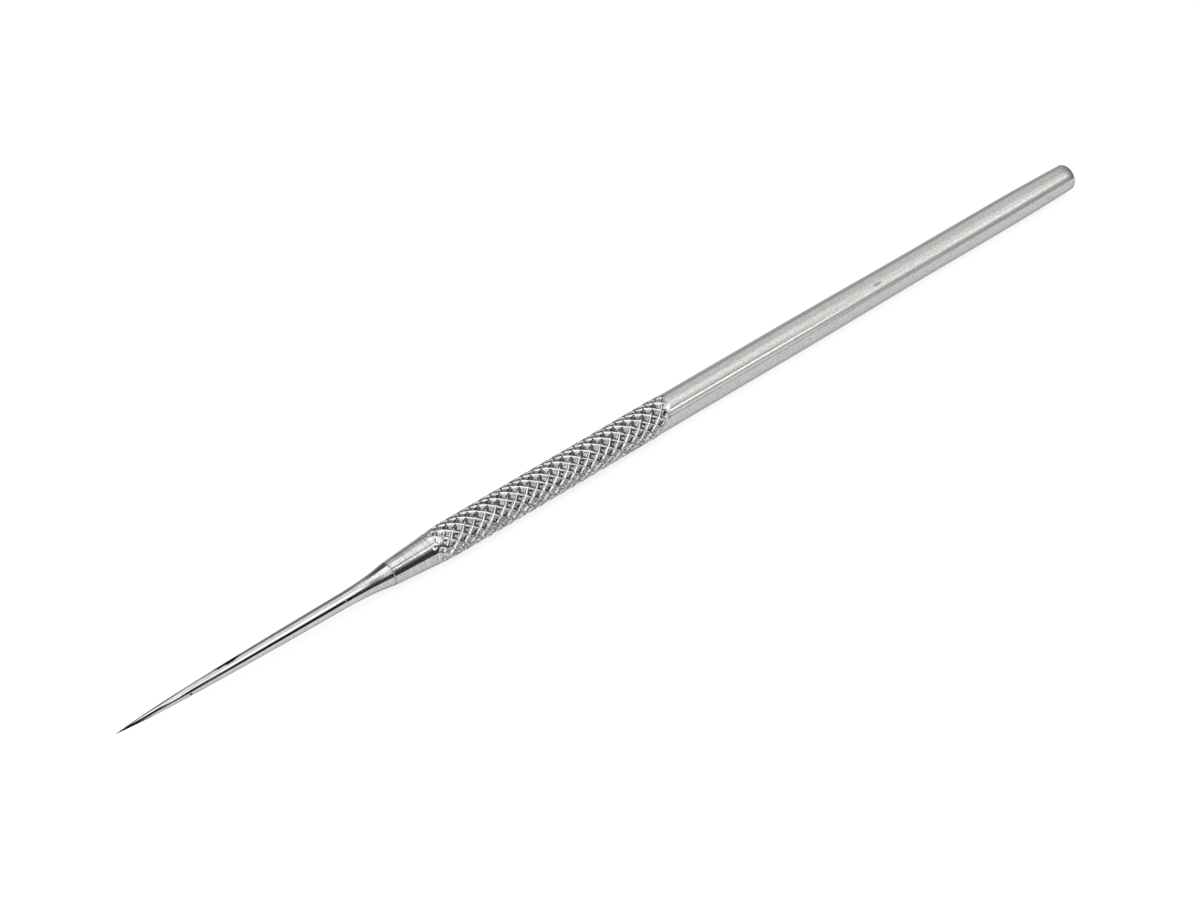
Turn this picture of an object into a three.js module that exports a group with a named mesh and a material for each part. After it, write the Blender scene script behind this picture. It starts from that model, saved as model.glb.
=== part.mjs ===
// Wax carving tool: a hardened steel needle brazed into a knurled stainless handle.
//
// All sizes are millimetres. Each piece is turned about the tool's axis and
// written as an outline of (radius, distance from the needle's tip). The tool
// then lies along X with its tip towards -X, resting on its knurl at z = 0.

import * as THREE from 'three';

// Driving dimensions of the whole tool
const OVERALL_LENGTH = 150;
const NEEDLE_REACH = 38.2;

// Needle
const NEEDLE_DIAMETER = 1.82;
const TIP_DIAMETER = 0.06;
const POINT_LENGTH = 11.5;
const POINT_DIAMETER = 1.23;
const POINT_SLOPE = 0.088;
const TAPER_SLOPE = 0.024;
const TAPER_END_SLOPE = 0.01;
const TANG_LENGTH = 13;
const TANG_CHAMFER = 0.35;

// Brazed joint
const FILM_THICKNESS = 0.15;
const POOL_DEPTH = 0.5;
const FILLET_LENGTH = 7;
const FILLET_EDGE = 0.02;
const BOND_GAP = 0.02;

// Ground nose of the handle
const NOSE_FRONT_DIAMETER = 2.96;
const NOSE_LENGTH = 9.4;
const NOSE_EDGE = 0.06;

// Rolled diamond knurl
const KNURL_DIAMETER = 4.4;
const KNURL_DEPTH = 0.31;
const KNURL_PITCH = 1.6;
const KNURL_STARTS = 10;
const KNURL_LENGTH = 34.2;
const KNURL_FADE = 2.6;
const RIDGE_SAG = 0.03;

// Plain shaft behind the knurl
const BAR_DIAMETER = 4.08;
const REAR_DIAMETER = 3.82;
const REAR_LENGTH = 25;
const EASING_LENGTH = 25;
const BUTT_DIAMETER = 3.46;
const BUTT_TAPER = 12;
const BUTT_ROUND = 0.5;

// Fineness of the curves
const STEPS_PER_CELL = 4;
const HANDLE_SIDES = KNURL_STARTS * STEPS_PER_CELL;
const SIDE_ANGLE = (2 * Math.PI) / HANDLE_SIDES;
const NEEDLE_SIDES = 32;
const POINT_STEPS = 10;
const TAPER_STEPS = 8;
const FILLET_STEPS = 8;
const ROUND_STEPS = 5;

// Radii and stations that follow from the sizes above
const needleRadius = NEEDLE_DIAMETER / 2;
const noseRadius = NOSE_FRONT_DIAMETER / 2;
const knurlRadius = KNURL_DIAMETER / 2;
const pitRadius = knurlRadius - KNURL_DEPTH;
const barRadius = BAR_DIAMETER / 2;
const rearRadius = REAR_DIAMETER / 2;
const buttRadius = BUTT_DIAMETER / 2;
const socketRadius = needleRadius + BOND_GAP + FILM_THICKNESS + BOND_GAP;
const tangEnd = NEEDLE_REACH + TANG_LENGTH;
const socketEnd = tangEnd + BOND_GAP + POOL_DEPTH + BOND_GAP;
const noseEnd = NEEDLE_REACH + NOSE_LENGTH;
const knurlEnd = noseEnd + KNURL_LENGTH;
const filletStart = NEEDLE_REACH - FILLET_LENGTH;
const buttTaperStart = OVERALL_LENGTH - BUTT_TAPER;
const rearStart = OVERALL_LENGTH - REAR_LENGTH;
const easingStart = rearStart - EASING_LENGTH;

// The handle is turned by one side, so that it rests between two rows of crests.
const handleTurn = SIDE_ANGLE;
const restHeight = Math.max(knurlRadius - RIDGE_SAG, knurlRadius * Math.cos(SIDE_ANGLE));

const point = (radius, station) => new THREE.Vector2(radius, station);

// A curve that leaves one point and reaches the next at the given slopes.
function sweepBetween(start, startSlope, end, endSlope, steps) {
  const reach = (end.y - start.y) / 3;
  const leaving = point(start.x + startSlope * reach, start.y + reach);
  const arriving = point(end.x - endSlope * reach, end.y - reach);
  return new THREE.CubicBezierCurve(start, leaving, arriving, end).getPoints(steps);
}

// A quarter round from one point to another, bulging past their chord.
function quarterRound(start, corner, end, steps) {
  const points = [];
  for (let step = 1; step <= steps; step += 1) {
    const angle = (Math.PI / 2) * (step / steps);
    points.push(point(
      corner.x - (corner.x - start.x) * (1 - Math.sin(angle)) - (corner.x - end.x) * (1 - Math.cos(angle)),
      corner.y - (corner.y - start.y) * (1 - Math.sin(angle)) - (corner.y - end.y) * (1 - Math.cos(angle)),
    ));
  }
  return points;
}

// Needle: ground point, slow taper and the tang that enters the handle

function needlePoint() {
  const tip = point(TIP_DIAMETER / 2, 0);
  const shoulder = point(POINT_DIAMETER / 2, POINT_LENGTH);
  return sweepBetween(tip, POINT_SLOPE, shoulder, TAPER_SLOPE, POINT_STEPS);
}

function needleTaper() {
  const shoulder = point(POINT_DIAMETER / 2, POINT_LENGTH);
  const root = point(needleRadius, filletStart);
  return sweepBetween(shoulder, TAPER_SLOPE, root, TAPER_END_SLOPE, TAPER_STEPS);
}

function needleGeometry() {
  const outline = [
    point(0, 0),
    ...needlePoint(),
    ...needleTaper().slice(1),
    point(needleRadius, tangEnd - TANG_CHAMFER),
    point(needleRadius - TANG_CHAMFER, tangEnd),
    point(0, tangEnd),
  ];
  return new THREE.LatheGeometry(outline, NEEDLE_SIDES);
}

// Braze: a cup of filler round the tang, drawn out into the fillet at the neck

function filletCurve() {
  const feather = point(needleRadius + BOND_GAP + FILLET_EDGE, filletStart);
  const shoulder = point(noseRadius - NOSE_EDGE, NEEDLE_REACH - BOND_GAP);
  const bend = point(
    THREE.MathUtils.lerp(feather.x, shoulder.x, 0.07),
    THREE.MathUtils.lerp(feather.y, shoulder.y, 0.63),
  );
  const entry = point(
    THREE.MathUtils.lerp(feather.x, shoulder.x, 0.63),
    THREE.MathUtils.lerp(feather.y, shoulder.y, 0.82),
  );
  return new THREE.CubicBezierCurve(feather, bend, entry, shoulder).getPoints(FILLET_STEPS);
}

function brazeGeometry() {
  const innerRadius = needleRadius + BOND_GAP;
  const outerRadius = socketRadius - BOND_GAP;
  const outline = [
    point(0, tangEnd + BOND_GAP),
    point(innerRadius - TANG_CHAMFER, tangEnd + BOND_GAP),
    point(innerRadius, tangEnd - TANG_CHAMFER + BOND_GAP),
    point(innerRadius, filletStart),
    ...filletCurve(),
    point(outerRadius, NEEDLE_REACH - BOND_GAP),
    point(outerRadius, socketEnd - BOND_GAP),
    point(0, socketEnd - BOND_GAP),
  ];
  return new THREE.LatheGeometry(outline, NEEDLE_SIDES);
}

// Handle: one bar, bored, ground to a nose, knurled and eased towards its butt

// The nose is ground after knurling, so it cuts the first ridges away.
function noseRadiusAt(station) {
  return noseRadius + (knurlRadius - noseRadius) * ((station - NEEDLE_REACH) / NOSE_LENGTH);
}

// The knurl first stands clear of the ground nose at the depth of its pits.
const ringStep = KNURL_PITCH / STEPS_PER_CELL;
const firstRing = noseEnd
  - Math.ceil((NOSE_LENGTH * KNURL_DEPTH) / (knurlRadius - noseRadius) / ringStep) * ringStep;
const knurlRings = Math.ceil((knurlEnd - firstRing) / ringStep);

// Ridges lie on the two families of helices, where ring plus or minus side is
// a whole number of cells. They cross at every second step of both.
function knurlRadiusAt(ring, side) {
  const station = firstRing + ring * ringStep;
  const onRightHand = (ring + side) % STEPS_PER_CELL === 0;
  const onLeftHand = (ring - side + HANDLE_SIDES) % STEPS_PER_CELL === 0;
  let radius = pitRadius;
  if (onRightHand && onLeftHand) {
    radius = knurlRadius;
  } else if (onRightHand || onLeftHand) {
    radius = knurlRadius - RIDGE_SAG;
  }
  const left = THREE.MathUtils.clamp((knurlEnd - station) / KNURL_FADE, 0, 1);
  const faded = THREE.MathUtils.lerp(barRadius, radius, left);
  return Math.min(faded, noseRadiusAt(station));
}

function socketOutline() {
  return [
    point(0, socketEnd),
    point(socketRadius, socketEnd),
    point(socketRadius, NEEDLE_REACH),
  ];
}

function noseOutline() {
  return [
    point(noseRadius - NOSE_EDGE, NEEDLE_REACH),
    point(noseRadiusAt(NEEDLE_REACH + NOSE_EDGE), NEEDLE_REACH + NOSE_EDGE),
  ];
}

function shaftOutline() {
  const roundStart = point(buttRadius, OVERALL_LENGTH - BUTT_ROUND);
  const corner = point(buttRadius, OVERALL_LENGTH);
  const faceEdge = point(buttRadius - BUTT_ROUND, OVERALL_LENGTH);
  return [
    point(barRadius, easingStart),
    point(rearRadius, rearStart),
    point(rearRadius, buttTaperStart),
    roundStart,
    ...quarterRound(roundStart, corner, faceEdge, ROUND_STEPS),
    point(0, OVERALL_LENGTH),
  ];
}

function handleGeometry() {
  const front = [...socketOutline(), ...noseOutline()];
  const knurled = [];
  for (let ring = 0; ring <= knurlRings; ring += 1) {
    knurled.push(point(pitRadius, firstRing + ring * ringStep));
  }
  const outline = [...front, ...knurled, ...shaftOutline()];
  const handle = new THREE.LatheGeometry(outline, HANDLE_SIDES, handleTurn);
  rollKnurl(handle, outline.length, front.length);
  return handle;
}

// Raises the ridges on the turned blank, and folds each face along its ridge.
function rollKnurl(blank, outlineLength, firstPoint) {
  const places = blank.getAttribute('position');
  const faces = [];
  for (let side = 0; side <= HANDLE_SIDES; side += 1) {
    const angle = handleTurn + side * SIDE_ANGLE;
    for (let ring = 0; ring <= knurlRings; ring += 1) {
      const index = side * outlineLength + firstPoint + ring;
      const radius = knurlRadiusAt(ring, side);
      places.setX(index, radius * Math.sin(angle));
      places.setZ(index, radius * Math.cos(angle));
    }
  }
  for (let side = 0; side < HANDLE_SIDES; side += 1) {
    for (let ring = 0; ring < outlineLength - 1; ring += 1) {
      const low = side * outlineLength + ring;
      const next = low + outlineLength;
      if ((side + ring - firstPoint) % 2 === 0) {
        faces.push(low, next, next + 1, low, next + 1, low + 1);
      } else {
        faces.push(low, next, low + 1, next + 1, low + 1, next);
      }
    }
  }
  blank.setIndex(faces);
  blank.computeVertexNormals();
}

// Finishes
const polishedSteel = new THREE.MeshStandardMaterial({
  color: 0xd4d5d7,
  roughness: 0.14,
  metalness: 1,
});
const groundBraze = new THREE.MeshStandardMaterial({
  color: 0xb4b3b1,
  roughness: 0.45,
  metalness: 1,
});
const brushedStainless = new THREE.MeshStandardMaterial({
  color: 0xbfbdbb,
  roughness: 0.34,
  metalness: 1,
});

function piece(name, geometry, material) {
  const mesh = new THREE.Mesh(geometry, material);
  mesh.name = name;
  return mesh;
}

// Assembly, laid down along X
const tool = new THREE.Group();
tool.name = 'wax_carving_tool';
tool.add(
  piece('needle', needleGeometry(), polishedSteel),
  piece('braze_joint', brazeGeometry(), groundBraze),
  piece('handle', handleGeometry(), brushedStainless),
);
tool.rotation.z = -Math.PI / 2;
tool.position.set(-OVERALL_LENGTH / 2, 0, restHeight);

const group = new THREE.Group();
group.add(tool);

export default group;
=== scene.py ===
"""A wax carving tool lying on a pale floor: a polished needle brazed into a knurled stainless handle.

All lengths are metres. Stations are distances along the tool from the needle's tip.
"""

import math

import bmesh
import bpy
from mathutils import Matrix, Vector


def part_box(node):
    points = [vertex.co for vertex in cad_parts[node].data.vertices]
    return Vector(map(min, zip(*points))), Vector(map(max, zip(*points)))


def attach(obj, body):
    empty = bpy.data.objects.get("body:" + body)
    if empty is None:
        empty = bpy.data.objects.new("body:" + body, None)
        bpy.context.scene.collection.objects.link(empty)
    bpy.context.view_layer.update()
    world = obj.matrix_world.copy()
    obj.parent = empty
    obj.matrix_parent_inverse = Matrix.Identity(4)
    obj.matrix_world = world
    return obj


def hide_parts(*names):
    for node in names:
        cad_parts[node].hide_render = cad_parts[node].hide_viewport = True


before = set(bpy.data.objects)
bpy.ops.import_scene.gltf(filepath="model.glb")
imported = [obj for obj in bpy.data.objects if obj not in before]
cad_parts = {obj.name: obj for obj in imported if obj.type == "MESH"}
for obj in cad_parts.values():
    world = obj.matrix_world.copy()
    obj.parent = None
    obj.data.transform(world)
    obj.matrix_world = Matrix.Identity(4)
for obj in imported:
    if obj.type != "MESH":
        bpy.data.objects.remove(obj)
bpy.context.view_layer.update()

MM = 0.001

# Sizes read from the frame
needle_low, needle_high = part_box("needle")
joint_low, joint_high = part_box("braze_joint")
handle_low, handle_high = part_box("handle")
TIP_X = needle_low[0]
AXIS_HEIGHT = (handle_low[2] + handle_high[2]) / 2
OVERALL_LENGTH = handle_high[0] - TIP_X
NEEDLE_REACH = handle_low[0] - TIP_X
TANG_END = needle_high[0] - TIP_X
FILLET_START = joint_low[0] - TIP_X
FILLER_END = joint_high[0] - TIP_X
NEEDLE_RADIUS = (needle_high[1] - needle_low[1]) / 2
CREST_RADIUS = (handle_high[1] - handle_low[1]) / 2

# Needle
TIP_RADIUS = 0.03 * MM
TIP_ROUND = (TIP_RADIUS * 0.4, TIP_RADIUS * 0.75)
POINT_LENGTH = 11.5 * MM
POINT_RADIUS = 0.615 * MM
POINT_SLOPE = 0.088
TAPER_SLOPE = 0.024
TAPER_END_SLOPE = 0.01
TANG_CHAMFER = 0.35 * MM

# Brazed joint, with the fillet's bends as shares of its length and of its height
BOND_GAP = 0.02 * MM
FILM_THICKNESS = 0.15 * MM
FEATHER_SINK = 0.006 * MM
FILLET_LEAVING = (0.63, 0.13)
FILLET_ARRIVING = (0.82, 0.66)

# Ground nose
NOSE_FRONT_RADIUS = 1.48 * MM
NOSE_LENGTH = 9.4 * MM
NOSE_EDGE = 0.015 * MM

# Rolled knurl
KNURL_RADIUS = 2.2 * MM
KNURL_DEPTH = 0.31 * MM
KNURL_PITCH = 1.6 * MM
KNURL_STARTS = 10
KNURL_LENGTH = 34.2 * MM
KNURL_FADE = 2.6 * MM
KNURL_TURN = math.radians(9)
RIDGE_SAG = 0.012 * MM
END_LEAN_TURN = 0.86

# A ridge's section, in pitches from its crest
CREST_HALF_WIDTH = 0.055
WALL_FOOT = 0.15
NUB_EDGE = 0.37
FLOOR_EDGE = 0.375
HALF_PITCH = 0.5

# Fineness of the knurl's wear, its ragged end and its wandering, as noise scales
WEAR_SCALE = 1500.0
RAGGED_SCALE = 900.0
WANDER_SCALE = 380.0
TWIST_SEED_STEP = 7.0

# Plain shaft
BAR_RADIUS = 2.04 * MM
REAR_RADIUS = 1.91 * MM
REAR_LENGTH = 25 * MM
EASING_LENGTH = 25 * MM
BUTT_RADIUS = 1.73 * MM
BUTT_TAPER = 12 * MM
BUTT_ROUND = 0.5 * MM
BUTT_SLOPE = -0.02

# Fineness of the meshes
SIDES = 120
STEPS_PER_CELL = 24
NEEDLE_SIDES = 72
TAPER_STEPS = 40
FILLET_STEPS = 30
EDGE_STEPS = 4
NOSE_STEPS = 8
EASING_STEPS = 10
ROUND_STEPS = 8
SHARP_EDGE = math.radians(24)

NOSE_END = NEEDLE_REACH + NOSE_LENGTH
KNURL_END = NOSE_END + KNURL_LENGTH
NOSE_SLOPE = (KNURL_RADIUS - NOSE_FRONT_RADIUS) / NOSE_LENGTH
PIT_RADIUS = KNURL_RADIUS - KNURL_DEPTH
QUARTER_PITCH = KNURL_PITCH / 4
FIRST_RING = NOSE_END - math.ceil(KNURL_DEPTH / NOSE_SLOPE / QUARTER_PITCH) * QUARTER_PITCH
SOCKET_RADIUS = NEEDLE_RADIUS + FILM_THICKNESS + 2 * BOND_GAP


# Turning

def turned(name, rings, sides):
    """A closed solid turned about the tool's axis from (station, radius, half a step on) rings.

    Its first and last rings have no radius. A ring that stands half a step on from
    its neighbour is joined to it by a zigzag of triangles, which lets ridges that
    climb both ways run along its edges.
    """
    shape = bmesh.new()
    loops = []
    for station, radius, half_step in rings:
        count = sides if radius > 0 else 1
        loop = []
        for side in range(count):
            angle = 2 * math.pi * (side + 0.5 * half_step) / sides
            loop.append(shape.verts.new((
                TIP_X + station,
                radius * math.sin(angle),
                AXIS_HEIGHT + radius * math.cos(angle),
            )))
        loops.append(loop)
    for (low, high), (ring, next_ring) in zip(zip(loops, loops[1:]), zip(rings, rings[1:])):
        join_loops(shape, low, high, next_ring[2] - ring[2])
    bmesh.ops.recalc_face_normals(shape, faces=shape.faces)
    for face in shape.faces:
        face.smooth = True
    mesh = bpy.data.meshes.new(name)
    shape.to_mesh(mesh)
    shape.free()
    piece = bpy.data.objects.new(name, mesh)
    bpy.context.scene.collection.objects.link(piece)
    return piece


def join_loops(shape, low, high, turn):
    """Faces between two neighbouring rings; turn is 0, or 1 or -1 where they are staggered."""
    sides = max(len(low), len(high))
    for side in range(sides):
        after = (side + 1) % sides
        if len(low) == 1:
            shape.faces.new((low[0], high[after], high[side]))
        elif len(high) == 1:
            shape.faces.new((low[side], low[after], high[0]))
        elif turn == 0:
            shape.faces.new((low[side], low[after], high[after], high[side]))
        elif turn > 0:
            shape.faces.new((low[side], low[after], high[side]))
            shape.faces.new((low[after], high[after], high[side]))
        else:
            shape.faces.new((low[side], high[after], high[side]))
            shape.faces.new((low[side], low[after], high[after]))


def sweep_between(start, start_slope, end, end_slope, steps):
    """Points of (station, radius) on a curve that leaves and arrives at the given slopes."""
    third = (end[0] - start[0]) / 3
    leaving = Vector((start[0] + third, start[1] + start_slope * third))
    arriving = Vector((end[0] - third, end[1] - end_slope * third))
    return bezier(Vector(start), leaving, arriving, Vector(end), steps)


def bezier(start, leaving, arriving, end, steps):
    points = []
    for step in range(steps + 1):
        t = step / steps
        s = 1 - t
        points.append(s ** 3 * start + 3 * s * s * t * leaving + 3 * s * t * t * arriving + t ** 3 * end)
    return points


def quarter_round(station, radius, size, steps):
    """A rounded rim that ends on a flat face at the given station."""
    points = []
    for step in range(steps + 1):
        angle = math.pi / 2 * step / steps
        points.append((
            station - size + size * math.sin(angle),
            radius - size + size * math.cos(angle),
        ))
    return points


def plain_rings(points):
    return [(point[0], point[1], 0) for point in points]


# Needle

def make_needle():
    shoulder = (POINT_LENGTH, POINT_RADIUS)
    root = (FILLET_START, NEEDLE_RADIUS)
    outline = [(0, 0), TIP_ROUND]
    outline += sweep_between((TIP_RADIUS, TIP_RADIUS), POINT_SLOPE, shoulder, TAPER_SLOPE, TAPER_STEPS)
    outline += sweep_between(shoulder, TAPER_SLOPE, root, TAPER_END_SLOPE, TAPER_STEPS)[1:]
    outline += [
        (NEEDLE_REACH, NEEDLE_RADIUS),
        (TANG_END - TANG_CHAMFER, NEEDLE_RADIUS),
        (TANG_END, NEEDLE_RADIUS - TANG_CHAMFER),
        (TANG_END, 0),
    ]
    return turned("polished_needle", plain_rings(outline), NEEDLE_SIDES)


# Filler metal

def fillet_curve():
    """The filler runs out to nothing on the needle and meets the nose with no gap."""
    feather = Vector((FILLET_START, NEEDLE_RADIUS - FEATHER_SINK))
    shoulder = Vector((NEEDLE_REACH, NOSE_FRONT_RADIUS - NOSE_EDGE))
    leaving = part_way(feather, shoulder, FILLET_LEAVING)
    arriving = part_way(feather, shoulder, FILLET_ARRIVING)
    return bezier(feather, leaving, arriving, shoulder, FILLET_STEPS)


def part_way(start, end, shares):
    """A point at the given shares of the way along and of the way out."""
    return Vector((
        start[0] + shares[0] * (end[0] - start[0]),
        start[1] + shares[1] * (end[1] - start[1]),
    ))


def make_filler():
    inner = NEEDLE_RADIUS + BOND_GAP
    outer = SOCKET_RADIUS - BOND_GAP
    outline = [
        (TANG_END + BOND_GAP, 0),
        (TANG_END + BOND_GAP, inner - TANG_CHAMFER),
        (TANG_END - TANG_CHAMFER + BOND_GAP, inner),
        (NEEDLE_REACH, inner),
        (FILLET_START + BOND_GAP, NEEDLE_RADIUS - 2 * FEATHER_SINK),
    ]
    outline += fillet_curve()
    outline += [
        (NEEDLE_REACH, outer),
        (FILLER_END, outer),
        (FILLER_END, 0),
    ]
    return turned("filler_fillet", plain_rings(outline), NEEDLE_SIDES)


# Handle

def nose_radius(station):
    return NOSE_FRONT_RADIUS + NOSE_SLOPE * (station - NEEDLE_REACH)


def handle_blank():
    """The bar before knurling: bored, turned and rounded, with fine staggered rings on the grip."""
    socket_end = FILLER_END + BOND_GAP
    front = [
        (socket_end, 0),
        (socket_end, SOCKET_RADIUS),
        (NEEDLE_REACH, SOCKET_RADIUS),
        (NEEDLE_REACH, NOSE_FRONT_RADIUS - NOSE_EDGE),
    ]
    for step in range(1, EDGE_STEPS + 1):
        angle = math.pi / 2 * step / EDGE_STEPS
        front.append((
            NEEDLE_REACH + NOSE_EDGE * (1 - math.cos(angle)),
            nose_radius(NEEDLE_REACH + NOSE_EDGE) - NOSE_EDGE * (1 - math.sin(angle)),
        ))
    cone_start = NEEDLE_REACH + 2 * NOSE_EDGE
    for step in range(NOSE_STEPS):
        station = cone_start + (FIRST_RING - cone_start) * step / NOSE_STEPS
        front.append((station, nose_radius(station)))
    ring_step = KNURL_PITCH / STEPS_PER_CELL
    ring_count = 2 * math.ceil((KNURL_END + KNURL_FADE / 2 - FIRST_RING) / ring_step / 2)
    grip = [(FIRST_RING + ring * ring_step, BAR_RADIUS, ring % 2) for ring in range(ring_count + 1)]
    easing_start = OVERALL_LENGTH - REAR_LENGTH - EASING_LENGTH
    rear_start = OVERALL_LENGTH - REAR_LENGTH
    taper_start = OVERALL_LENGTH - BUTT_TAPER
    round_start = OVERALL_LENGTH - BUTT_ROUND
    shaft = [(easing_start, BAR_RADIUS)]
    shaft += sweep_between((easing_start, BAR_RADIUS), 0, (rear_start, REAR_RADIUS), 0, EASING_STEPS)[1:]
    butt_edge = (round_start, BUTT_RADIUS)
    shaft += sweep_between((taper_start, REAR_RADIUS), 0, butt_edge, BUTT_SLOPE, EASING_STEPS)
    shaft += quarter_round(OVERALL_LENGTH, BUTT_RADIUS, BUTT_ROUND, ROUND_STEPS)[1:]
    shaft.append((OVERALL_LENGTH, 0))
    rings = plain_rings(front) + grip + plain_rings(shaft)
    blank = turned("knurled_handle", rings, SIDES)
    mark = blank.data.attributes.new("grip", "FLOAT", "POINT")
    first = 1 + (len(front) - 1) * SIDES
    for index in range(first, first + len(grip) * SIDES):
        mark.data[index].value = 1.0
    return blank


class Sums:
    """Writes sums as Math nodes in a shader or geometry tree."""

    def __init__(self, tree):
        self.tree = tree

    def put(self, value, socket):
        if isinstance(value, bpy.types.NodeSocket):
            self.tree.links.new(value, socket)
        else:
            socket.default_value = value

    def node(self, kind, **settings):
        made = self.tree.nodes.new(kind)
        for name, value in settings.items():
            setattr(made, name, value)
        return made

    def math(self, operation, *values):
        made = self.node("ShaderNodeMath", operation=operation)
        for value, socket in zip(values, made.inputs):
            self.put(value, socket)
        return made.outputs[0]

    def add(self, first, second):
        return self.math("ADD", first, second)

    def less(self, first, second):
        return self.math("SUBTRACT", first, second)

    def times(self, first, second):
        return self.math("MULTIPLY", first, second)

    def over(self, first, second):
        return self.math("DIVIDE", first, second)

    def smallest(self, first, second):
        return self.math("MINIMUM", first, second)

    def largest(self, first, second):
        return self.math("MAXIMUM", first, second)

    def ramp(self, value, low, high, start=0.0, end=1.0, smooth=True):
        """Maps low..high to start..end, held at both ends."""
        made = self.node("ShaderNodeMapRange", interpolation_type="SMOOTHSTEP" if smooth else "LINEAR")
        for number, socket in zip((value, low, high, start, end), made.inputs):
            self.put(number, socket)
        return made.outputs[0]

    def mix(self, share, first, second):
        """A number between first and second."""
        return self.add(first, self.times(share, self.less(second, first)))

    def vector(self, x, y, z):
        made = self.node("ShaderNodeCombineXYZ")
        for value, socket in zip((x, y, z), made.inputs):
            self.put(value, socket)
        return made.outputs[0]

    def parts(self, vector):
        made = self.node("ShaderNodeSeparateXYZ")
        self.put(vector, made.inputs[0])
        return made.outputs


# Inputs of the knurling group; its shares are of the ridges' height
KNURL_INPUTS = {
    "Tip X": TIP_X,
    "Axis height": AXIS_HEIGHT,
    "First ring": FIRST_RING,
    "Pitch": KNURL_PITCH,
    "Starts": float(KNURL_STARTS),
    "Turn": KNURL_TURN,
    "Crest radius": CREST_RADIUS,
    "Pit radius": PIT_RADIUS,
    "Bar radius": BAR_RADIUS,
    "Ridge sag": RIDGE_SAG,
    "Crest half width": CREST_HALF_WIDTH,
    "Wall foot": WALL_FOOT,
    "Floor edge": FLOOR_EDGE,
    "Wall share": 0.5,
    "Pit nub": 0.12,
    "Knurl end": KNURL_END,
    "Fade": KNURL_FADE,
    "Ragged end": 1.1 * MM,
    "End lean": 1.05 * MM,
    "Wander": 0.22 * MM,
    "Worn crests": 0.09 * MM,
    "Nose start": NEEDLE_REACH,
    "Nose front radius": NOSE_FRONT_RADIUS,
    "Nose slope": NOSE_SLOPE,
    "Seed": 4.0,
}


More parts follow.
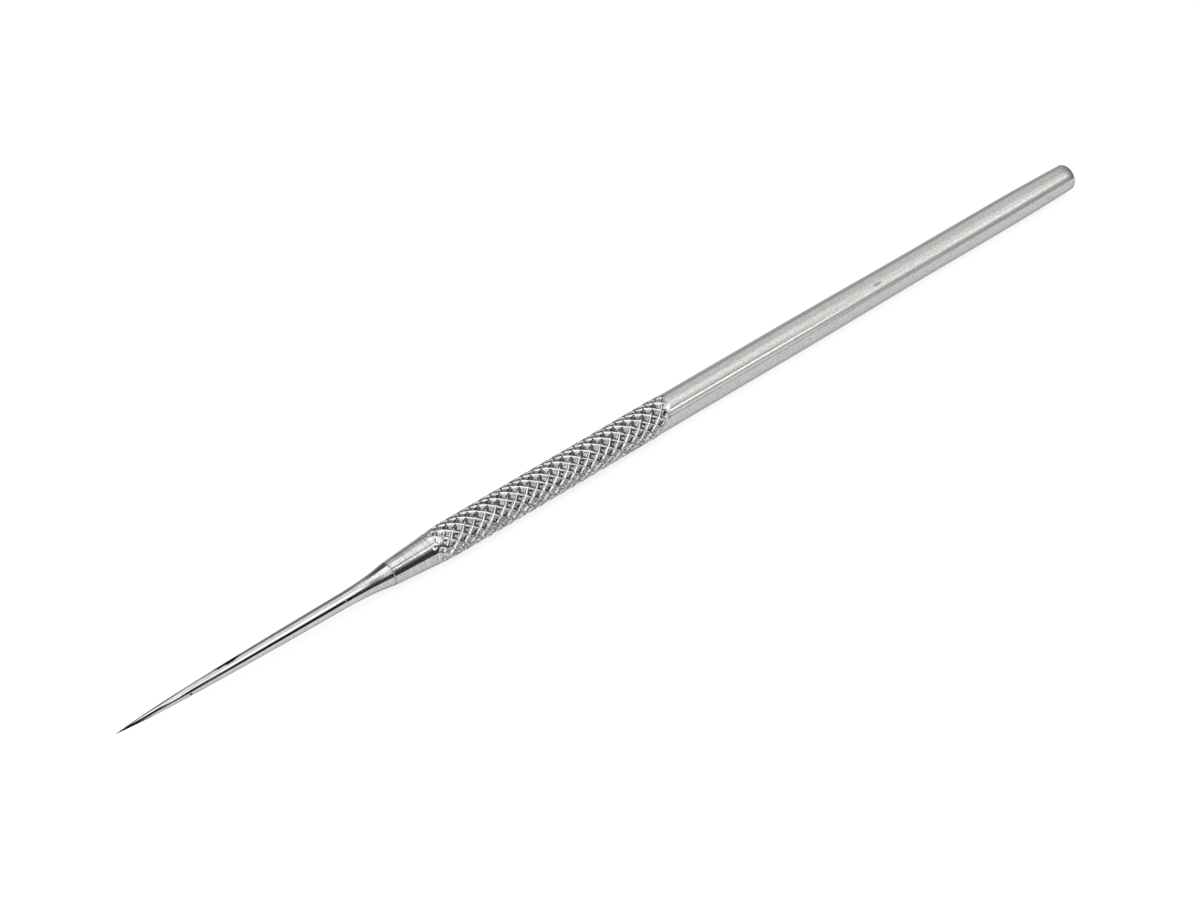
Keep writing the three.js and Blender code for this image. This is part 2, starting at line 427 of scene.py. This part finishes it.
def knurling_tree():
    """Rolls the diamond ridges into the grip, then grinds the nose through the first of them."""
    tree = bpy.data.node_groups.new("roll_knurl", "GeometryNodeTree")
    tree.interface.new_socket("Geometry", in_out="INPUT", socket_type="NodeSocketGeometry")
    for name, value in KNURL_INPUTS.items():
        item = tree.interface.new_socket(name, in_out="INPUT", socket_type="NodeSocketFloat")
        item.default_value = value
    tree.interface.new_socket("Material", in_out="INPUT", socket_type="NodeSocketMaterial")
    tree.interface.new_socket("Geometry", in_out="OUTPUT", socket_type="NodeSocketGeometry")
    sums = Sums(tree)
    given = sums.node("NodeGroupInput").outputs
    place = sums.node("GeometryNodeInputPosition").outputs[0]
    x, y, z = sums.parts(place)
    station = sums.less(x, given["Tip X"])
    rise = sums.less(z, given["Axis height"])
    angle = sums.math("ARCTAN2", y, rise)

    # Ridges, where either of the two helix counts is a whole number
    around = sums.times(sums.over(sums.add(angle, given["Turn"]), 2 * math.pi), given["Starts"])
    along = sums.over(sums.less(station, given["First ring"]), given["Pitch"])
    from_right = sums.math("PINGPONG", sums.add(around, along), HALF_PITCH)
    from_left = sums.math("PINGPONG", sums.less(around, along), HALF_PITCH)
    right_hand = ridge(sums, from_right, given)
    left_hand = ridge(sums, from_left, given)
    depth = sums.less(given["Crest radius"], given["Pit radius"])
    sag = sums.over(given["Ridge sag"], depth)
    crossing = sums.times(sums.times(right_hand, left_hand), sag)
    ridges = sums.times(sums.largest(right_hand, left_hand), sums.less(1.0, sag))
    from_nearest = sums.smallest(from_right, from_left)
    nub = sums.ramp(from_nearest, NUB_EDGE, HALF_PITCH, 0.0, given["Pit nub"])
    height = sums.add(sums.add(ridges, crossing), nub)
    uneven = seeded_noise(sums, place, given["Seed"], WEAR_SCALE)
    wear = sums.times(uneven, given["Worn crests"])
    unworn = sums.add(given["Pit radius"], sums.times(depth, height))
    rolled = sums.less(unworn, sums.times(wear, height))

    # The knurl dies out raggedly into the plain bar, sooner on one side
    ragged_edge = seeded_noise(sums, place, given["Seed"], RAGGED_SCALE)
    ragged = sums.times(sums.less(ragged_edge, 0.5), given["Ragged end"])
    lean_side = sums.math("COSINE", sums.less(angle, END_LEAN_TURN))
    lean = sums.times(sums.less(lean_side, 1.0), given["End lean"])
    knurl_end = sums.add(given["Knurl end"], sums.add(ragged, lean))
    left = sums.over(sums.less(knurl_end, station), given["Fade"])
    kept = sums.ramp(left, 0.0, 1.0)
    knurled = sums.mix(kept, given["Bar radius"], rolled)
    envelope = sums.mix(kept, given["Bar radius"], given["Crest radius"])

    # The ground nose
    nose = sums.add(
        given["Nose front radius"],
        sums.times(given["Nose slope"], sums.less(station, given["Nose start"])),
    )
    radius = sums.smallest(knurled, nose)
    pit = sums.over(sums.less(sums.smallest(envelope, nose), radius), depth)
    ridged = sums.times(kept, sums.math("GREATER_THAN", nose, knurled))

    # The ridges wander a little from their true helices, though not where the grip joins its ends
    inside = sums.smallest(
        sums.ramp(sums.less(station, given["First ring"]), 0.0, KNURL_PITCH),
        sums.ramp(sums.less(given["Knurl end"], station), 0.0, KNURL_PITCH),
    )
    reach = sums.times(given["Wander"], inside)
    shift_noise = seeded_noise(sums, place, given["Seed"], WANDER_SCALE)
    shift = sums.times(sums.less(shift_noise, 0.5), reach)
    twist_seed = sums.add(given["Seed"], TWIST_SEED_STEP)
    twist_noise = seeded_noise(sums, place, twist_seed, WANDER_SCALE)
    twist = sums.times(sums.less(twist_noise, 0.5), reach)
    turned_angle = sums.add(angle, sums.over(twist, given["Crest radius"]))

    on_grip = sums.node("GeometryNodeInputNamedAttribute", data_type="FLOAT")
    on_grip.inputs["Name"].default_value = "grip"
    moved = sums.vector(
        sums.add(x, shift),
        sums.times(radius, sums.math("SINE", turned_angle)),
        sums.add(given["Axis height"], sums.times(radius, sums.math("COSINE", turned_angle))),
    )
    set_position = sums.node("GeometryNodeSetPosition")
    geometry = given["Geometry"]
    for name, value in (("pit", pit), ("ridged", ridged)):
        store = sums.node("GeometryNodeStoreNamedAttribute", data_type="FLOAT", domain="POINT")
        sums.put(geometry, store.inputs["Geometry"])
        store.inputs["Name"].default_value = name
        sums.put(sums.times(value, on_grip.outputs[0]), store.inputs["Value"])
        geometry = store.outputs[0]
    sums.put(geometry, set_position.inputs["Geometry"])
    sums.put(sums.math("GREATER_THAN", on_grip.outputs[0], 0.5), set_position.inputs["Selection"])
    sums.put(moved, set_position.inputs["Position"])
    realize = sums.node("GeometryNodeRealizeInstances")
    sums.put(set_position.outputs[0], realize.inputs[0])
    set_material = sums.node("GeometryNodeSetMaterial")
    sums.put(realize.outputs[0], set_material.inputs["Geometry"])
    sums.put(given["Material"], set_material.inputs["Material"])
    out = sums.node("NodeGroupOutput")
    sums.put(set_material.outputs[0], out.inputs["Geometry"])
    return tree


def seeded_noise(sums, vector, seed, scale):
    made = sums.node("ShaderNodeTexNoise", noise_dimensions="4D")
    sums.put(vector, made.inputs["Vector"])
    sums.put(seed, made.inputs["W"])
    sums.put(scale, made.inputs["Scale"])
    return made.outputs[0]


def ridge(sums, away, given):
    """1 along a ridge's crest, with a steep wall, then a gentle slope to 0 on the pit's floor."""
    wall = sums.ramp(away, given["Crest half width"], given["Wall foot"], 1.0, 0.0, smooth=False)
    slope = sums.ramp(away, given["Crest half width"], given["Floor edge"], 1.0, 0.0, smooth=False)
    return sums.mix(given["Wall share"], slope, wall)


def make_handle(finish):
    handle = handle_blank()
    tree = knurling_tree()
    rolling = handle.modifiers.new("roll_knurl", "NODES")
    rolling.node_group = tree
    for item in tree.interface.items_tree:
        if item.in_out == "INPUT" and item.name in KNURL_INPUTS:
            rolling[item.identifier] = KNURL_INPUTS[item.name]
        elif item.in_out == "INPUT" and item.name == "Material":
            rolling[item.identifier] = finish
    graph = bpy.context.evaluated_depsgraph_get()
    rolled = bpy.data.meshes.new_from_object(
        handle.evaluated_get(graph), preserve_all_data_layers=True, depsgraph=graph
    )
    handle.modifiers.clear()
    handle.data = rolled
    rolled.set_sharp_from_angle(angle=SHARP_EDGE)
    return handle


# Base colours of the finishes
POLISH_DULL = (0.48, 0.48, 0.48)
POLISH_CLEAR = (0.56, 0.56, 0.557)
# Black of the real stains, and of the tip's painted dark reflection
STAIN_AND_DARK_REFLECTION = (0.03, 0.029, 0.028)
FILLER_DULL = (0.36, 0.355, 0.35)
FILLER_CLEAR = (0.56, 0.555, 0.55)
BAR_DULL = (0.42, 0.414, 0.408)
BAR_CLEAR = (0.525, 0.518, 0.51)
NOSE_DULL = (0.40, 0.396, 0.391)
NOSE_CLEAR = (0.54, 0.535, 0.528)
# Lighter crests: partly rubbed wear and partly a painted highlight
RUBBED_CREST_HIGHLIGHT = (0.72, 0.714, 0.708)
# Painted shade, in the knurl's pits and on one side of it
PAINTED_SHADE_GREY = (0.155, 0.153, 0.15)
SCRATCHED = (0.25, 0.245, 0.24)

# Small marks: station, degrees round from the top towards +Y, length, degrees wide
LONG_STAIN = (15.4 * MM, 20, 3.8 * MM, 56)
SPECK = (9.75 * MM, -84, 0.4 * MM, 24)
SCRATCH = (115.0 * MM, -30, 1.6 * MM, 9)

# The tip's painted dark reflection ends sooner on one side, and one side of the knurl gets painted shade
TIP_REFLECTION_FULL = 3.0 * MM
TIP_REFLECTION_END = 5.4 * MM
TIP_REFLECTION_LEAN = 1.5 * MM
TIP_REFLECTION_TURN = math.radians(20)
TIP_REFLECTION_RAGGED = 0.6 * MM
# Turn of the knurl side that gets painted shade
SHADE_SIDE_TURN = math.radians(-110)

# Lengths over which one finish gives way to the next
NOSE_FINISH_FADE = 1.2 * MM
SPECKLE_FADE = 5 * MM


# Finishes

def new_finish(name, rim):
    """An empty metal finish; rim is its reflectance where it is seen edge on."""
    material = bpy.data.materials.new(name)
    material.use_nodes = True
    sums = Sums(material.node_tree)
    shader = material.node_tree.nodes["Principled BSDF"]
    shader.inputs["Metallic"].default_value = 1.0
    shader.inputs["Specular Tint"].default_value = (rim, rim, rim, 1.0)
    place = sums.node("ShaderNodeTexCoord").outputs["Object"]
    return material, sums, shader, place


def stretched_noise(sums, place, along, across, detail, roughness=0.5):
    """Noise with one scale along the tool's axis and another across it."""
    mapping = sums.node("ShaderNodeMapping")
    sums.put(place, mapping.inputs["Vector"])
    mapping.inputs["Scale"].default_value = (along, across, across)
    made = sums.node("ShaderNodeTexNoise")
    sums.put(mapping.outputs[0], made.inputs["Vector"])
    made.inputs["Scale"].default_value = 1.0
    made.inputs["Detail"].default_value = detail
    made.inputs["Roughness"].default_value = roughness
    return made.outputs[0]


def colours(sums, share, first, second):
    mixing = sums.node("ShaderNodeMix", data_type="RGBA")
    sums.put(share, mixing.inputs["Factor"])
    sums.put((*first, 1.0) if isinstance(first, tuple) else first, mixing.inputs["A"])
    sums.put((*second, 1.0) if isinstance(second, tuple) else second, mixing.inputs["B"])
    return mixing.outputs["Result"]


def bumped(sums, height, distance, strength, under=None):
    bump = sums.node("ShaderNodeBump")
    bump.inputs["Strength"].default_value = strength
    bump.inputs["Distance"].default_value = distance
    sums.put(height, bump.inputs["Height"])
    if under is not None:
        sums.put(under, bump.inputs["Normal"])
    return bump.outputs[0]


def angle_round(sums, y, z):
    """Radians round the axis from the top towards +Y."""
    return sums.math("ARCTAN2", y, sums.less(z, AXIS_HEIGHT))


def blemish(sums, place, station, turn, length, width):
    """1 inside a small ragged mark at a station and at degrees round from the top towards +Y."""
    x, y, z = sums.parts(place)
    angle = sums.math("DEGREES", angle_round(sums, y, z))
    ragged = sums.less(stretched_noise(sums, place, 1600, 2600, 3.0), 0.5)
    along = sums.over(sums.less(x, TIP_X + station), length / 2)
    around = sums.over(sums.less(angle, turn), width / 2)
    away = sums.add(sums.times(along, along), sums.times(around, around))
    return sums.ramp(sums.add(away, sums.times(ragged, 2.2)), 0.7, 1.1, 1.0, 0.0)


def polish_cloud(sums, place):
    return stretched_noise(sums, place, 1100, 2600, 3.0, 0.6)


def polish_tone(sums, cloud):
    """The colour of polished steel, a little duller in patches."""
    return colours(sums, sums.ramp(cloud, 0.35, 0.65), POLISH_DULL, POLISH_CLEAR)


def polished_steel():
    """Mirror polish with faint lengthwise grinding lines, a tip painted black as a dark reflection, and
    two small stains.
    """
    material, sums, shader, place = new_finish("polished_steel", 0.22)
    lines = stretched_noise(sums, place, 60, 5200, 3.0)
    cloud = polish_cloud(sums, place)
    tone = polish_tone(sums, cloud)
    long_stain = blemish(sums, place, *LONG_STAIN)
    speck = blemish(sums, place, *SPECK)
    x, y, z = sums.parts(place)
    # Painted dark reflection: the tip is painted black, ending sooner on one side
    lean_side = sums.math("COSINE", sums.less(angle_round(sums, y, z), TIP_REFLECTION_TURN))
    lean = sums.times(lean_side, TIP_REFLECTION_LEAN)
    station = sums.add(sums.less(x, TIP_X), sums.add(lean, sums.times(cloud, TIP_REFLECTION_RAGGED)))
    tip_dark_reflection = sums.ramp(station, TIP_REFLECTION_FULL, TIP_REFLECTION_END, 1.0, 0.0)
    stains_and_reflection = sums.largest(tip_dark_reflection, sums.largest(long_stain, speck))
    sums.put(colours(sums, stains_and_reflection, tone, STAIN_AND_DARK_REFLECTION), shader.inputs["Base Color"])
    sums.put(sums.ramp(lines, 0.3, 0.7, 0.04, 0.10), shader.inputs["Roughness"])
    sums.put(bumped(sums, lines, 0.0012 * MM, 0.5), shader.inputs["Normal"])
    return material


def ground_filler():
    """Filler metal ground flush: polished where it runs out on the needle, speckled by the nose."""
    material, sums, shader, place = new_finish("ground_filler", 0.3)
    x = sums.parts(place)[0]
    speckled = sums.ramp(sums.less(x, TIP_X), FILLET_START, FILLET_START + SPECKLE_FADE)
    polished = polish_tone(sums, polish_cloud(sums, place))
    speckle = stretched_noise(sums, place, 5200, 5600, 4.0, 0.65)
    ground = colours(sums, sums.ramp(speckle, 0.38, 0.58), FILLER_DULL, FILLER_CLEAR)
    sums.put(colours(sums, speckled, polished, ground), shader.inputs["Base Color"])
    rough = sums.ramp(speckle, 0.3, 0.7, 0.20, 0.09)
    sums.put(sums.mix(speckled, 0.07, rough), shader.inputs["Roughness"])
    sums.put(bumped(sums, sums.times(speckle, speckled), 0.010 * MM, 0.5), shader.inputs["Normal"])
    return material


def brushed_stainless():
    """Satin bar with marks round it, a streaky ground nose, and a knurl whose crests are lightened,
    partly by rubbing and partly as a painted highlight, with painted shade in its pits.

    One side of the knurl, facing -Y and down, has painted shade spotted on its crests too.
    """
    material, sums, shader, place = new_finish("brushed_stainless", 0.55)
    pit = sums.node("ShaderNodeAttribute", attribute_name="pit").outputs["Fac"]
    ridged = sums.node("ShaderNodeAttribute", attribute_name="ridged").outputs["Fac"]
    x, y, z = sums.parts(place)
    on_nose = sums.ramp(sums.less(x, TIP_X), NOSE_END - NOSE_FINISH_FADE, NOSE_END, 1.0, 0.0)
    # Painted shade on one side of the knurl, facing -Y and down, spotted by the mottle
    shade_side_facing = sums.math("COSINE", sums.less(angle_round(sums, y, z), SHADE_SIDE_TURN))
    shaded_side = sums.times(sums.ramp(shade_side_facing, 0.6, 0.85), ridged)
    grain = stretched_noise(sums, place, 7000, 700, 3.0, 0.6)
    streaks = stretched_noise(sums, place, 3600, 420, 3.0, 0.6)
    mottle = stretched_noise(sums, place, 3400, 4200, 4.0, 0.65)
    cloud = stretched_noise(sums, place, 90, 240, 2.0)
    bar = colours(sums, sums.ramp(mottle, 0.38, 0.62), BAR_DULL, BAR_CLEAR)
    nose_mark = sums.add(sums.times(streaks, 0.5), sums.times(mottle, 0.5))
    nose = colours(sums, sums.ramp(nose_mark, 0.4, 0.6), NOSE_DULL, NOSE_CLEAR)
    metal = colours(sums, on_nose, bar, nose)
    patch = stretched_noise(sums, place, 640, 900, 2.0)
    patchy = sums.ramp(patch, 0.38, 0.62, 1.0, 0.7)
    # Painted shade in the pits, heavier in some patches than in others
    shade_patches = sums.times(patchy, sums.ramp(mottle, 0.35, 0.65, 1.0, 0.45))
    pit_shade = sums.times(sums.ramp(pit, 0.45, 0.85), shade_patches)
    side_shade = sums.times(shaded_side, sums.ramp(mottle, 0.42, 0.56, 1.0, 0.0))
    # Crests lightened in rubbed streaks, partly as wear and partly as a painted highlight
    crest = sums.times(sums.ramp(pit, 0.12, 0.5, 1.0, 0.0), ridged)
    rubbed_highlight = sums.times(crest, sums.ramp(streaks, 0.35, 0.6, 0.35, 1.0))
    crested = colours(sums, rubbed_highlight, metal, RUBBED_CREST_HIGHLIGHT)
    tone = colours(sums, sums.largest(pit_shade, side_shade), crested, PAINTED_SHADE_GREY)
    scratch = blemish(sums, place, *SCRATCH)
    sums.put(colours(sums, scratch, tone, SCRATCHED), shader.inputs["Base Color"])
    smooth_bar = sums.ramp(sums.add(grain, sums.times(cloud, 0.5)), 0.5, 0.95, 0.05, 0.13)
    sums.put(sums.mix(sums.ramp(pit, 0.0, 0.8), smooth_bar, 0.10), shader.inputs["Roughness"])
    fine = bumped(sums, grain, 0.003 * MM, 0.5)
    sums.put(bumped(sums, mottle, 0.005 * MM, 0.35, fine), shader.inputs["Normal"])
    return material


# The studio
FLOOR_REACH = 3.0
FLOOR_GREY = (0.33, 0.33, 0.33, 1.0)
FLOOR_GLOW_COLOUR = (0.975, 0.968, 1.0, 1.0)
FLOOR_GLOW = 0.76
TENT_COLOUR = (1.0, 0.995, 0.985, 1.0)
STRIP_DIRECTION = (0.37, -0.345, 0.863)
STRIP_DISTANCE = 0.7
STRIP_LENGTH = 0.11
STRIP_WIDTH = 0.26
STRIP_BRIGHTNESS = 0.40


def pale_floor():
    """A white sweep that glows a little, so that shadows on it stay faint."""
    reach = FLOOR_REACH
    floor_mesh = bpy.data.meshes.new("floor")
    corners = [(-reach, -reach, 0), (reach, -reach, 0), (reach, reach, 0), (-reach, reach, 0)]
    floor_mesh.from_pydata(corners, [], [(0, 1, 2, 3)])
    floor = bpy.data.objects.new("floor", floor_mesh)
    bpy.context.scene.collection.objects.link(floor)
    material = bpy.data.materials.new("floor_white")
    material.use_nodes = True
    shader = material.node_tree.nodes["Principled BSDF"]
    shader.inputs["Base Color"].default_value = FLOOR_GREY
    shader.inputs["Roughness"].default_value = 0.9
    shader.inputs["Specular IOR Level"].default_value = 0.2
    shader.inputs["Emission Color"].default_value = FLOOR_GLOW_COLOUR
    shader.inputs["Emission Strength"].default_value = FLOOR_GLOW
    floor.data.materials.append(material)


def panel(sums, value, low, high, soft):
    """1 between low and high, with soft edges."""
    return sums.times(
        sums.ramp(value, low - soft, low + soft),
        sums.ramp(value, high - soft, high + soft, 1.0, 0.0),
    )


# Panels, gaps and seams of the tent: X range, its softness, degrees of lift, their softness, level.
# Lift runs from 0 at the horizon in front, over 90 overhead, to 180 at the horizon behind.
TENT_PANELS = (
    ((-0.60, 0.04), 0.05, (25, 105), 8, 1.90),
    ((0.67, 1.10), 0.04, (-20, 190), 5, 0.26),
    ((-1.10, 0.345), 0.005, (124, 190), 7, 0.12),
    ((0.345, 0.362), 0.005, (146, 190), 7, 0.28),
    ((0.362, 0.378), 0.004, (150, 190), 7, 0.60),
    ((0.378, 0.46), 0.005, (128, 190), 9, 0.32),
    ((0.46, 0.515), 0.005, (158, 200), 6, 0.05),
    ((0.515, 0.67), 0.01, (150, 190), 8, 0.70),
    ((0.46, 0.57), 0.02, (68, 100), 14, 1.60),
    ((0.57, 0.67), 0.02, (60, 88), 16, 1.45),
    ((0.345, 0.46), 0.01, (57, 78), 4, 2.00),
    ((0.306, 0.345), 0.004, (50, 68), 3, 2.80),
    ((0.306, 0.345), 0.004, (86, 122), 7, 1.70),
    ((0.10, 0.306), 0.004, (82, 122), 6, 2.00),
    ((0.362, 0.45), 0.004, (1, 43), 4, 0.01),
    ((0.331, 0.362), 0.004, (-18, 56), 5, 0.01),
    ((0.3155, 0.331), 0.002, (-40, 39), 9, 0.04),
    ((0.306, 0.3155), 0.002, (-18, 54), 5, 0.01),
    ((0.22, 0.306), 0.003, (-18, 74), 6, 0.01),
    ((0.05, 0.22), 0.01, (0, 40), 6, 0.01),
    ((0.306, 0.331), 0.003, (70, 79), 1, 0.05),
    ((0.36, 0.46), 0.02, (83, 90), 2, 0.95),
    ((0.46, 0.57), 0.02, (45, 57), 2, 0.74),
    ((0.46, 0.57), 0.02, (35, 44), 1, 2.50),
    ((0.46, 0.57), 0.02, (17, 34), 2, 0.88),
    ((0.46, 0.57), 0.02, (9, 16), 1, 1.50),
    ((0.46, 0.57), 0.02, (-4, 8), 2, 0.70),
    ((0.57, 0.67), 0.02, (42, 62), 5, 1.80),
    ((0.57, 0.67), 0.02, (4, 31), 6, 0.62),
)

# The bare tent's level falls between two X values
TENT_CHANGE = (0.40, 0.54)
TENT_LEVELS = (1.30, 1.05)


def studio_surround():
    """A white tent round the tool, with dark gaps low down and thin seams between its walls."""
    world = bpy.data.worlds.new("studio")
    world.use_nodes = True
    bpy.context.scene.world = world
    sums = Sums(world.node_tree)
    shader = world.node_tree.nodes["Background"]
    direction = sums.node("ShaderNodeTexCoord").outputs["Generated"]
    x, y, z = sums.parts(direction)
    lift = sums.math("DEGREES", sums.math("ARCTAN2", z, sums.times(y, -1.0)))
    level = sums.ramp(x, *TENT_CHANGE, *TENT_LEVELS)
    for x_span, x_soft, lift_span, lift_soft, panel_level in TENT_PANELS:
        in_span = panel(sums, x, *x_span, x_soft)
        in_lift = panel(sums, lift, *lift_span, lift_soft)
        level = sums.mix(sums.times(in_span, in_lift), level, panel_level)
    sums.put(level, shader.inputs["Strength"])
    shader.inputs["Color"].default_value = TENT_COLOUR


def soft_box(name, direction, distance, length, width, brightness):
    """A flat soft light seen from the tool in the given direction, its length along the tool."""
    data = bpy.data.lights.new(name, "AREA")
    data.shape = "RECTANGLE"
    data.size = length
    data.size_y = width
    data.energy = brightness * math.pi * length * width
    lamp = bpy.data.objects.new(name, data)
    back = Vector(direction).normalized()
    along = Vector((1, 0, 0))
    along = (along - along.project(back)).normalized()
    turn = Matrix((along, back.cross(along), back)).transposed().to_4x4()
    lamp.matrix_world = Matrix.Translation(back * distance) @ turn
    bpy.context.scene.collection.objects.link(lamp)
    lamp.visible_camera = False


# Camera: the photograph's view, found from the tool's tip and butt and the slant of its knurl
CAMERA_ELEVATION = math.radians(41.07)
CAMERA_TURN = math.radians(41.76)
CAMERA_DISTANCE = 473.5 * MM
LENS_MM = 121.1
SENSOR_MM = 36.0
AIM_STATION = 70.39 * MM


def photograph_camera():
    data = bpy.data.cameras.new("camera")
    data.lens = LENS_MM
    data.sensor_width = SENSOR_MM
    data.clip_start = 10 * MM
    camera = bpy.data.objects.new("camera", data)
    right = Vector((math.cos(CAMERA_TURN), -math.sin(CAMERA_TURN), 0))
    back = Vector((
        -math.sin(CAMERA_TURN) * math.cos(CAMERA_ELEVATION),
        -math.cos(CAMERA_TURN) * math.cos(CAMERA_ELEVATION),
        math.sin(CAMERA_ELEVATION),
    ))
    up = back.cross(right)
    aim = Vector((TIP_X + AIM_STATION, 0, AXIS_HEIGHT))
    place = aim + back * CAMERA_DISTANCE
    turn = Matrix((right, up, back)).transposed().to_4x4()
    camera.matrix_world = Matrix.Translation(place) @ turn
    bpy.context.scene.collection.objects.link(camera)
    bpy.context.scene.camera = camera


# Assembly

def dress():
    needle = make_needle()
    needle.data.materials.append(polished_steel())
    filler = make_filler()
    filler.data.materials.append(ground_filler())
    handle = make_handle(brushed_stainless())
    for piece, node, slot in (
        (needle, "needle", "polished_steel"),
        (filler, "braze_joint", "ground_braze"),
        (handle, "handle", "brushed_stainless"),
    ):
        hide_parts(node)
        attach(piece, "root")


dress()
pale_floor()
studio_surround()
soft_box("strip_box", STRIP_DIRECTION, STRIP_DISTANCE, STRIP_LENGTH, STRIP_WIDTH, STRIP_BRIGHTNESS)
photograph_camera()
bpy.context.scene.view_settings.view_transform = "Standard"
